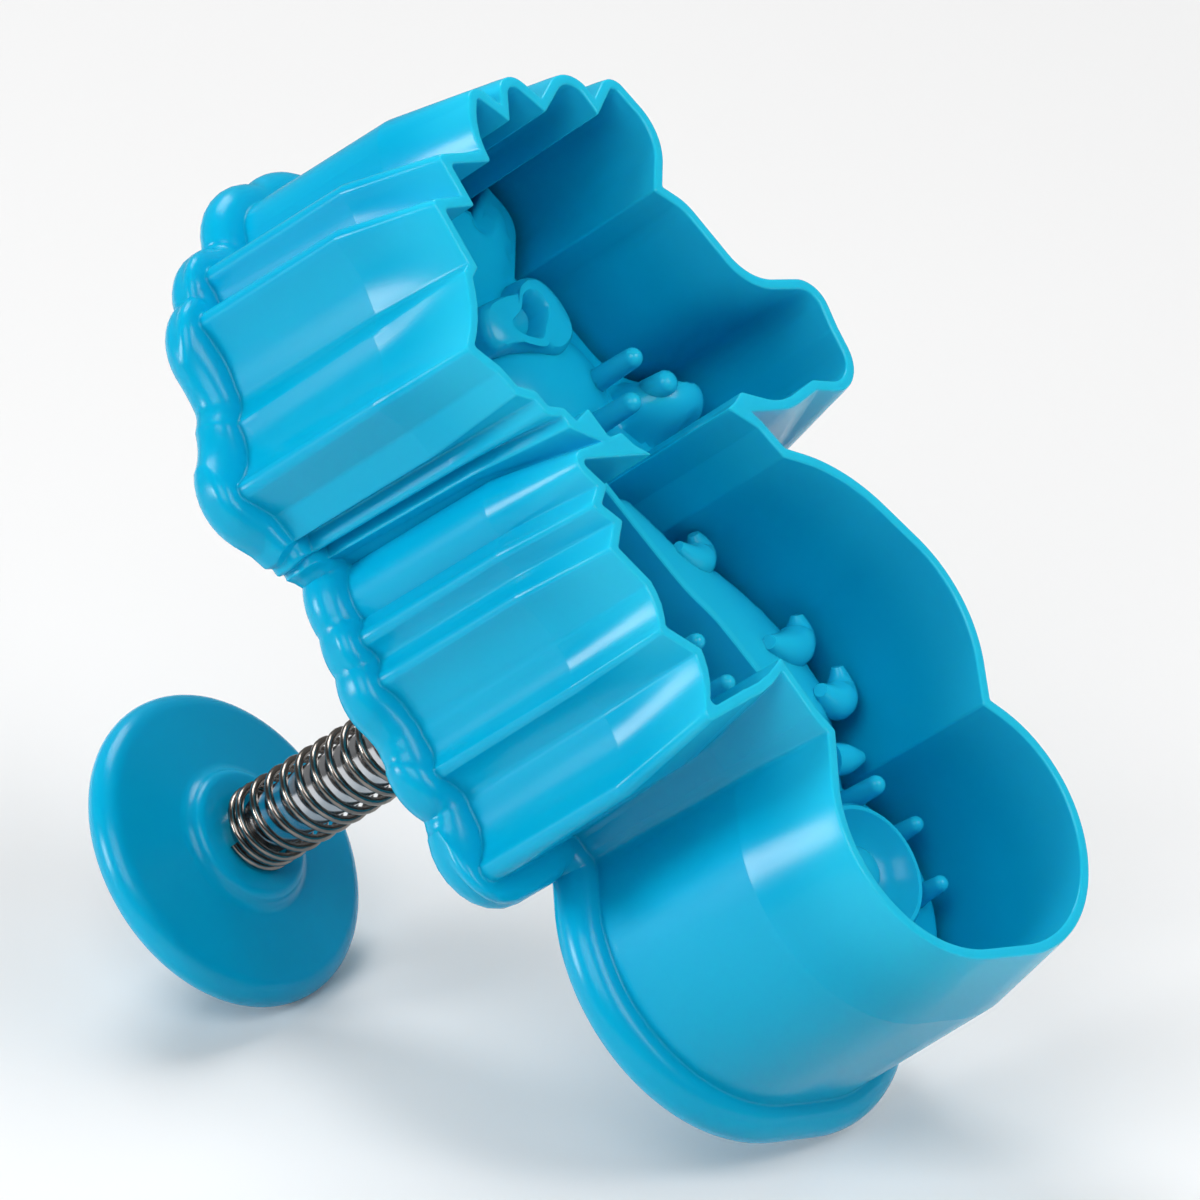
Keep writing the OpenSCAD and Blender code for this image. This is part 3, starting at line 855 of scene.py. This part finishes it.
def smooth_path(points, steps):
    """A curve through the points, which may hold any number of values each."""
    curve = []
    for i in range(len(points) - 1):
        four = [points[max(0, min(len(points) - 1, k))] for k in (i - 1, i, i + 1, i + 2)]
        for k in range(steps):
            t = k / steps
            curve.append([
                b + t * (c - a) / 2 + t * t * (a - 2.5 * b + 2 * c - d / 2)
                + t ** 3 * (3 * b - a - 3 * c + d) / 2
                for a, b, c, d in zip(*four)])
    return curve + [list(points[-1])]


class CUTTER_OT_stamp(Step, bpy.types.Operator):
    """Build the relief stamp that slides inside the shell"""

    bl_idname = "cutter.stamp"
    bl_label = "Stamp"

    def build(self, s, skin):
        line = Outline(STAMP_LINE)
        gap, soft = s.stamp_gap, s.stamp_round
        edge = [(gap, PLATE_BACK_Z), (gap, (PLATE_BACK_Z + FACE_Z + soft) / 2)]
        edge += [(gap + soft - r, z) for r, z in arc((0, FACE_Z + soft), soft, 0, -90, EDGE_STEPS)]
        plate = skin.rows([skin.level(line.ring(-inset, LIP_SOFT, RIM_VALLEY), z) for inset, z in edge])
        skin.fill(plate[0])
        self.face(skin, skin.apart(plate[-1]))
        low = PLATE_BACK_Z - SOCKET_LAP
        skin.lathe([(0, low), (SOCKET_R, low), (SOCKET_R, STAMP_HIGH), (0, STAMP_HIGH)], ROUND_COUNT)
        root = FACE_Z + ROOT
        for x, y, radius, height in PEGS:
            top = FACE_Z - height
            lean = between(0, pi / 2, TIP_COUNT)
            peg = [(radius * sin(a), top + radius * (1 - cos(a))) for a in lean]
            peg += [(radius * PEG_NECK, FACE_Z - PEG_NECK_H), (radius * PEG_ROOT, root), (0, root)]
            skin.lathe(peg, PEG_COUNT, (x, y))
        for middle, rows in MOUNDS.items():
            skin.mound([skin.oval(rx, ry, FACE_Z - height, OVAL_COUNT, middle) for rx, ry, height in rows])
        self.eye(skin)
        self.blade(skin)
        for scale in SCALES:
            curve = smooth_path(scale, CURVE_STEPS)
            path = [Vector((x, y, FACE_Z - height)) for x, y, height, _ in curve]
            skin.tube(path, [radius for *_, radius in curve], SCALE_SIDES)
        # The relief's tips are painted paler, a painted glow for the light that reaches them through the
        # opening.
        plastic = moulded_plastic_painted_glow("relief_abs_painted_glow")
        show("relief_stamp", skin, plastic, "plunger", "stamp_plate")

    def face(self, skin, border):
        """The stamp's face inside its border, raised by the relief."""
        edge = [Vector(skin.points[k][:2]) for k in border]
        tree = KDTree(len(edge))
        for k, p in enumerate(edge):
            tree.insert((*p, 0), k)
        tree.balance()
        low = Vector([min(p[k] for p in edge) for k in (0, 1)])
        high = Vector([max(p[k] for p in edge) for k in (0, 1)])
        inner = []
        for row in range(int((high.y - low.y) / (FACE_STEP * ROW_SHARE))):
            for column in range(int((high.x - low.x) / FACE_STEP)):
                p = low + Vector(((column + row % 2 / 2) * FACE_STEP, row * ROW_SHARE * FACE_STEP))
                if tree.find((*p, 0))[2] > FACE_STEP * BORDER_SHARE:
                    inner.append(p)
        ring = [(k, (k + 1) % len(edge)) for k in range(len(edge))]
        places, _, faces, *_ = delaunay_2d_cdt(edge + inner, ring, [], 1, WELD)
        raised = []
        for p in places:
            fade = ease(0, FACE_FADE, tree.find((*p, 0))[2])
            raised.append((p.x, p.y, FACE_Z - fade * relief(p.x, p.y)))
        first = skin.loop(raised)[0]
        skin.faces += [[first + k for k in three] for three in faces]

    def eye(self, skin):
        """The eye's soft mound with an irregular edge, round its hole."""
        rings = []
        for line, rows in EYE_ROWS:
            middle = sum((Vector(p) for p in line), Vector((0, 0))) / len(line)
            curve = smooth_path(line[-1:] + line + line[:2], CURVE_STEPS)[CURVE_STEPS:-CURVE_STEPS - 1]
            spokes = [Vector(p) - middle for p in curve]
            for size, height in rows:
                rings.append(skin.level([middle + spoke * size for spoke in spokes], FACE_Z - height))
        skin.mound(rings)

    def blade(self, skin):
        """The thin blade along the body, with its top edges just broken."""
        path = [Vector(p) for p in smooth_path(BLADE, BLADE_STEPS)]
        half, low, top, chip = BLADE_T / 2, FACE_Z + ROOT, FACE_Z - BLADE_H, BLADE_CHIP
        section = [(-half, low), (-half, top + chip), (chip - half, top)]
        section += [(-w, z) for w, z in reversed(section)]
        rings = []
        for i, p in enumerate(path):
            along = tangent(path, i)
            side = Vector((along.y, -along.x))
            rings.append(skin.loop([(*(p + side * w), z) for w, z in section]))
        skin.bar(rings)


ROD_CHAMFER = 0.3


class CUTTER_OT_rod(Step, bpy.types.Operator):
    """Build the polished rod with its chamfered ends"""

    bl_idname = "cutter.rod"
    bl_label = "Plunger rod"

    def build(self, s, skin):
        radius = s.rod_d / 2
        tip_r = radius - ROD_CHAMFER
        skin.lathe([
            (0, ROD_LOW), (tip_r, ROD_LOW), (radius, ROD_LOW + ROD_CHAMFER),
            (radius, ROD_HIGH - ROD_CHAMFER), (tip_r, ROD_HIGH), (0, ROD_HIGH)], ROUND_COUNT)
        show("polished_rod", skin, polished_steel(), "plunger", "plunger_rod")


# Open curls, close curls at each end, their pitch, and the spring's gap to its seats.
CURLS, END_CURLS, END_PITCH, SEAT_GAP = 15, 2, 0.95, 0.1
CURL_STEPS, WIRE_SIDES = 32, 14


class CUTTER_OT_spring(Step, bpy.types.Operator):
    """Build the coil spring on the rod, at its length with the plunger at rest"""

    bl_idname = "cutter.spring"
    bl_label = "Return spring"

    def build(self, s, skin):
        wire = s.wire_d / 2
        coil = s.spring_d / 2 - wire
        low, high = SHELL_TOP + SEAT_GAP + wire, KNOB_LOW - SEAT_GAP - wire
        pitch = (high - low - 2 * END_CURLS * END_PITCH) / CURLS
        path = []
        for k in range((CURLS + 2 * END_CURLS) * CURL_STEPS + 1):
            t = k / CURL_STEPS
            rise = END_PITCH * (min(t, END_CURLS) + max(0, t - END_CURLS - CURLS))
            rise += pitch * max(0, min(t - END_CURLS, CURLS))
            path.append(Vector((*(coil * unit(2 * pi * t)), low + rise)))
        skin.tube(path, [wire] * len(path), WIRE_SIDES)
        piece = show("coil_spring", skin, drawn_wire(), "shell", "return_spring")
        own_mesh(piece)


# The rod's hole in the knob: its grip, its broken edge and its depth.
HOLE_GRIP, HOLE_CHAMFER, HOLE_H = 0.05, 0.1, 1
# Under the knob: the edge of the spring's ring and the hollow round it as arcs, then the underside.
RING_EDGE = (5, 0.9), 0.9, -90, -30
RING_HOLLOW = (7.05, -0.03), 1.4, 150, 100
UNDERSIDE = [(8.4, 1.56), (10, 1.76)]
# The knob's edge: radius, height of its middle and turn either way. The dome: height, and the share of
# its half angle at which it leaves the edge.
KNOB_EDGE_R, KNOB_EDGE_Z, KNOB_EDGE_TURN = 1.8, 3.8, 84
DOME_H, DOME_SHARE = 3.4, 0.97
RING_STEPS, KNOB_STEPS, KNOB_COUNT = 6, 16, 128


class CUTTER_OT_knob(Step, bpy.types.Operator):
    """Build the domed push knob with the soft ring that the spring bears on"""

    bl_idname = "cutter.knob"
    bl_label = "Push knob"

    def build(self, s, skin):
        rod_r, rim_r = s.rod_d / 2, s.knob_d / 2 - KNOB_EDGE_R
        hole_r = rod_r - HOLE_GRIP
        profile = [(hole_r, HOLE_H), (hole_r, HOLE_CHAMFER), (rod_r + HOLE_CHAMFER, 0)]
        profile += arc(*RING_EDGE, RING_STEPS) + arc(*RING_HOLLOW, RING_STEPS) + UNDERSIDE
        profile += arc((rim_r, KNOB_EDGE_Z), KNOB_EDGE_R, -KNOB_EDGE_TURN, KNOB_EDGE_TURN, KNOB_STEPS)
        dome_r = (rim_r ** 2 + DOME_H ** 2) / (2 * DOME_H)
        half = asin(rim_r / dome_r)
        crown = KNOB_EDGE_Z + KNOB_EDGE_R + DOME_H
        dome = between(half * DOME_SHARE, 0, KNOB_STEPS)
        profile += [(dome_r * sin(a), crown - dome_r * (1 - cos(a))) for a in dome]
        skin.lathe([(r, KNOB_LOW + z) for r, z in profile], KNOB_COUNT)
        show("domed_knob", skin, moulded_plastic_painted_glow(), "plunger", "push_knob")


# The photograph's camera: image side and focal length in pixels, its turns, where it shows the middle of
# the knob's spring seat, pixels to a millimetre there, and the seat's height.
PHOTO_SIDE, FOCAL_PX = 1200, 10500
SPIN, LEAN = radians(31.74), radians(50.3)
SEAT_PX, SEAT_SCALE, SEAT_Z = (254.6, 831.7), 12.25, 62.4
SENSOR = 36
# Angle at which the camera looks down on the floor.
FLOOR_VIEW = radians(25)
# The floor's side. It fades between this distance from its middle and this share of its half side.
FLOOR_SIDE, FLOOR_CLEAR, FLOOR_FADE = 1.6, 0.12, 0.9
# Direction of each lamp (right, up and towards the camera), its distance, width and power.
LAMPS = {
    "side_softbox": ((-0.93, 0.06, 0.36), 0.7, 0.2, 2.5),
    "camera_softbox": ((-0.2, 0.4, 0.9), 0.8, 0.45, 2.5),
    "top_softbox": ((-0.2, 0.93, -0.1), 0.7, 0.34, 2.5),
    "front_softbox": ((0.66, 0.46, 0.62), 0.8, 0.4, 3.2),
}
# Even light on the object, and the floor's own light to the eye.
AMBIENT, FLOOR_GLOW = 0.1, 0.1
# Brightness that gloss sees behind the object and on the camera's side, and half the width of the change
# between them, as a cosine.
LIT_SIDE, DARK_SIDE, SIDE_BLEND = 0.25, 0.06, 0.3


def camera_axes():
    """Right, up and back of the camera, and its place in millimetres."""
    axis = Vector((sin(LEAN) * cos(SPIN), -sin(LEAN) * sin(SPIN), -cos(LEAN)))
    across = Vector((sin(SPIN), cos(SPIN), 0))
    rise = Vector((cos(LEAN) * cos(SPIN), -cos(LEAN) * sin(SPIN), sin(LEAN)))
    turn = Matrix((-rise, -across, -axis))
    depth = FOCAL_PX / SEAT_SCALE
    middle = PHOTO_SIDE / 2
    seat = Vector(((SEAT_PX[0] - middle) / FOCAL_PX, (SEAT_PX[1] - middle) / FOCAL_PX, 1)) * depth
    origin = seat + SEAT_Z * axis
    right, up, back = (turn @ Vector(d) for d in ((1, 0, 0), (0, -1, 0), (0, 0, -1)))
    return right, up, back, -(turn @ origin)


def basis(right, up, back, place):
    """Matrix of an object from its three axes and its place in metres."""
    turned = Matrix((right, up, back)).transposed().to_4x4()
    turned.translation = place
    return turned


class CUTTER_OT_stage(bpy.types.Operator):
    """Set the photograph's camera, a pale floor and soft studio light"""

    bl_idname = "cutter.stage"
    bl_label = "Stage"

    def execute(self, context):
        scene = context.scene
        scene.view_settings.view_transform = "Standard"
        right, up, back, place = camera_axes()
        camera = place_new("photo_camera", bpy.data.cameras.new("photo_camera"))
        camera.data.lens = SENSOR * FOCAL_PX / PHOTO_SIDE
        camera.data.sensor_width = SENSOR
        camera.matrix_world = basis(right, up, back, place * MM)
        scene.camera = camera
        middle = (cad_low + cad_high) / 2
        for name, (way, distance, width, power) in LAMPS.items():
            lamp = bpy.data.lights.new(name, "AREA")
            lamp.size = width
            lamp.energy = power
            holder = place_new(name, lamp)
            towards = (right * way[0] + up * way[1] + back * way[2]).normalized()
            holder.location = middle + towards * distance
            holder.rotation_mode = "QUATERNION"
            holder.rotation_quaternion = towards.to_track_quat("Z", "Y")
            holder.visible_camera = False
        self.floor(right, up * cos(FLOOR_VIEW) + back * sin(FLOOR_VIEW), middle)
        self.surroundings(scene, back)
        return {"FINISHED"}

    def floor(self, right, normal, middle):
        """A pale floor under the object's lowest points, seen from its upper side only."""
        points = [v.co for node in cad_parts.values() for v in node.data.vertices]
        low = min(normal.dot(p) for p in points)
        place = middle - normal * (normal.dot(middle) - low)
        half = FLOOR_SIDE / 2
        mesh = bpy.data.meshes.new("floor")
        corners = [(-half, -half, 0), (half, -half, 0), (half, half, 0), (-half, half, 0)]
        mesh.from_pydata(corners, [], [(0, 1, 2, 3)])
        floor = place_new("floor", mesh)
        floor.matrix_world = basis(right, normal.cross(right), normal, place)
        paint = bpy.data.materials.new("pale_floor")
        paint.use_nodes = True
        tree = paint.node_tree
        tree.nodes.clear()
        matt = add(tree, "ShaderNodeBsdfDiffuse", {"Color": tone("floor")})
        glow = combine(tree, "MULTIPLY", self.seen(tree), FLOOR_GLOW)
        white = add(tree, "ShaderNodeEmission", {"Strength": glow})
        both = add(tree, "ShaderNodeAddShader", {0: matt.outputs[0], 1: white.outputs[0]})
        spot = add(tree, "ShaderNodeTexCoord").outputs["Object"]
        away = add(tree, "ShaderNodeVectorMath", {0: spot}, operation="LENGTH").outputs["Value"]
        fade = spread(tree, away, (FLOOR_CLEAR, half * FLOOR_FADE), (0, 1), "SMOOTHSTEP")
        under = add(tree, "ShaderNodeNewGeometry").outputs["Backfacing"]
        hide = combine(tree, "MAXIMUM", under, fade)
        clear = add(tree, "ShaderNodeBsdfTransparent")
        shown = add(tree, "ShaderNodeMixShader", {0: hide, 1: both.outputs[0], 2: clear.outputs[0]})
        add(tree, "ShaderNodeOutputMaterial", {"Surface": shown.outputs[0]})
        mesh.materials.append(paint)

    def seen(self, tree):
        """1 where the eye, a mirror or clear glass looks."""
        path = add(tree, "ShaderNodeLightPath").outputs
        mirrored = combine(tree, "MAXIMUM", path["Is Camera Ray"], path["Is Glossy Ray"])
        return combine(tree, "MAXIMUM", mirrored, path["Is Transmission Ray"])

    def surroundings(self, scene, front):
        """A white studio to the eye, darker in front for gloss, and an even plain light on the object."""
        scene.world = bpy.data.worlds.new("white_studio")
        scene.world.use_nodes = True
        tree = scene.world.node_tree
        tree.nodes.clear()
        light = add(tree, "ShaderNodeBackground", {"Color": (1, 1, 1, 1), "Strength": AMBIENT})
        way = add(tree, "ShaderNodeTexCoord").outputs["Generated"]
        ahead = add(tree, "ShaderNodeVectorMath", {0: way, 1: front}, operation="DOT_PRODUCT")
        sides = (-SIDE_BLEND, SIDE_BLEND), (LIT_SIDE, DARK_SIDE)
        dim = spread(tree, ahead.outputs["Value"], *sides, "SMOOTHSTEP")
        eye = add(tree, "ShaderNodeLightPath").outputs["Is Camera Ray"]
        level = combine(tree, "MAXIMUM", eye, dim)
        white = add(tree, "ShaderNodeBackground", {"Color": (1, 1, 1, 1), "Strength": level})
        both = {0: self.seen(tree), 1: light.outputs[0], 2: white.outputs[0]}
        mixed = add(tree, "ShaderNodeMixShader", both)
        add(tree, "ShaderNodeOutputWorld", {"Surface": mixed.outputs[0]})


class CUTTER_PT_sidebar(bpy.types.Panel):
    """Sizes, colours and building steps of the plunger cutter"""

    bl_idname = "CUTTER_PT_sidebar"
    bl_label = "Plunger cutter"
    bl_space_type = "VIEW_3D"
    bl_region_type = "UI"
    bl_category = "Cutter"

    def draw(self, context):
        for group in (context.scene.cutter_sizes, context.scene.cutter_colours):
            for name in group.__annotations__:
                self.layout.prop(group, name)
        for step in STEPS:
            self.layout.operator(step.bl_idname)


STEPS = (
    CUTTER_OT_shell, CUTTER_OT_stamp, CUTTER_OT_rod, CUTTER_OT_spring, CUTTER_OT_knob, CUTTER_OT_stage,
)
CLASSES = (CutterSizes, CutterColours, *STEPS, CUTTER_PT_sidebar)


def register():
    """Add the classes and the scene's two groups of properties."""
    for kind in CLASSES:
        bpy.utils.register_class(kind)
    bpy.types.Scene.cutter_sizes = bpy.props.PointerProperty(type=CutterSizes)
    bpy.types.Scene.cutter_colours = bpy.props.PointerProperty(type=CutterColours)


def unregister():
    """Take away what register adds."""
    del bpy.types.Scene.cutter_sizes
    del bpy.types.Scene.cutter_colours
    for kind in reversed(CLASSES):
        bpy.utils.unregister_class(kind)


def main():
    """Build every piece and the stage."""
    register()
    bpy.ops.cutter.shell()
    bpy.ops.cutter.stamp()
    bpy.ops.cutter.rod()
    bpy.ops.cutter.spring()
    bpy.ops.cutter.knob()
    bpy.ops.cutter.stage()


if __name__ == "__main__":
    main()
